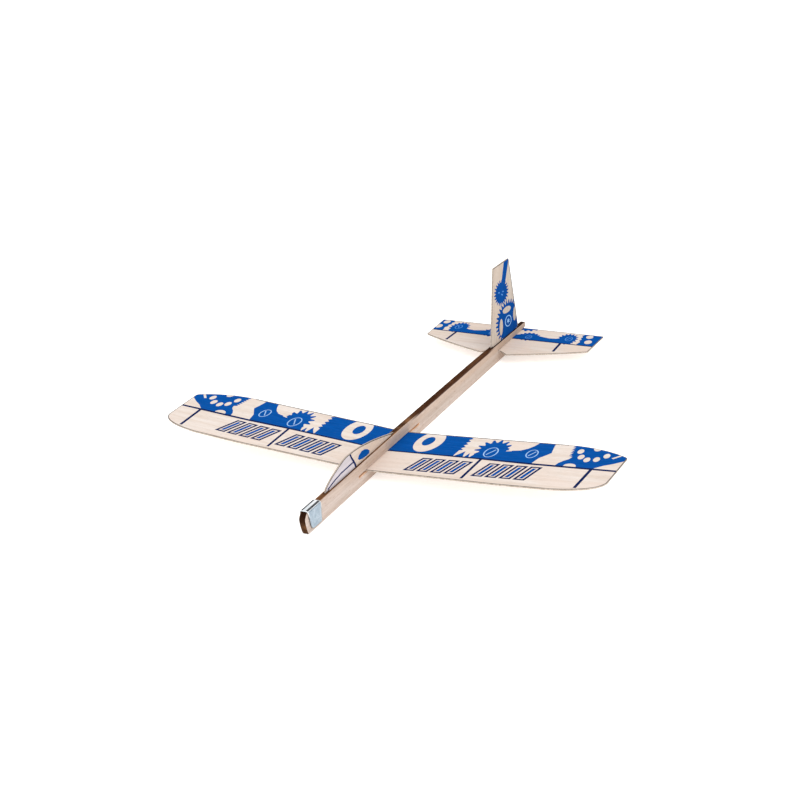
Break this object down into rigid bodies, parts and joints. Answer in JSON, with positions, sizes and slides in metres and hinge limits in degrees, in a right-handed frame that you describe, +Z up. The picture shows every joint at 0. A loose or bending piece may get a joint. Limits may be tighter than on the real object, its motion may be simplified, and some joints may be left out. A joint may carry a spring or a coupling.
{
  "type": "slip-together balsa hand glider",
  "caption": "Flat balsa glider thrown by hand: wing, stabiliser, fin and canopy sheets slip into slits in an upright fuselage board with a folded metal clip on its nose.",
  "frame": {"origin": "on the fuselage's straight bottom edge, in the middle plane, midway along the fuselage", "axes": "-Y to the nose, +Y to the tail, +X along the wing (port side when facing forward is +X), +Z up through the fin"},
  "size_m": [0.3046, 0.381, 0.0773],
  "materials": {
    "fuselage_balsa": "bare sanded balsa board, its top edge and nose end stained dark brown",
    "sheet_balsa": "bare 1 mm balsa sheet printed with blue ink",
    "clip_metal": "bright tinned sheet steel, folded"
  },
  "bodies": {
    "fuselage": {"fuselage": "fuselage_balsa"},
    "wing": {"wing": "sheet_balsa"},
    "stabiliser": {"stabiliser": "sheet_balsa"},
    "fin": {"fin": "sheet_balsa"},
    "canopy": {"canopy": "sheet_balsa"},
    "nose_clip": {"nose_clip": "clip_metal"}
  },
  "joints": [
    {"name": "wing_trim", "type": "slide", "parent": "fuselage", "child": "wing", "axis": [0, 1, 0], "range_m": [-0.01, 0.0165]},
    {"name": "stabiliser_out", "type": "slide", "parent": "fuselage", "child": "stabiliser", "axis": [0, 1, 0], "range_m": [0, 0.075]},
    {"name": "fin_out", "type": "slide", "parent": "fuselage", "child": "fin", "axis": [0, 0, 1], "range_m": [0, 0.012]},
    {"name": "canopy_out", "type": "slide", "parent": "fuselage", "child": "canopy", "axis": [0, 0, 1], "range_m": [0, 0.012]},
    {"name": "clip_off", "type": "slide", "parent": "fuselage", "child": "nose_clip", "axis": [0, -1, 0], "range_m": [0, 0.025]}
  ]
}
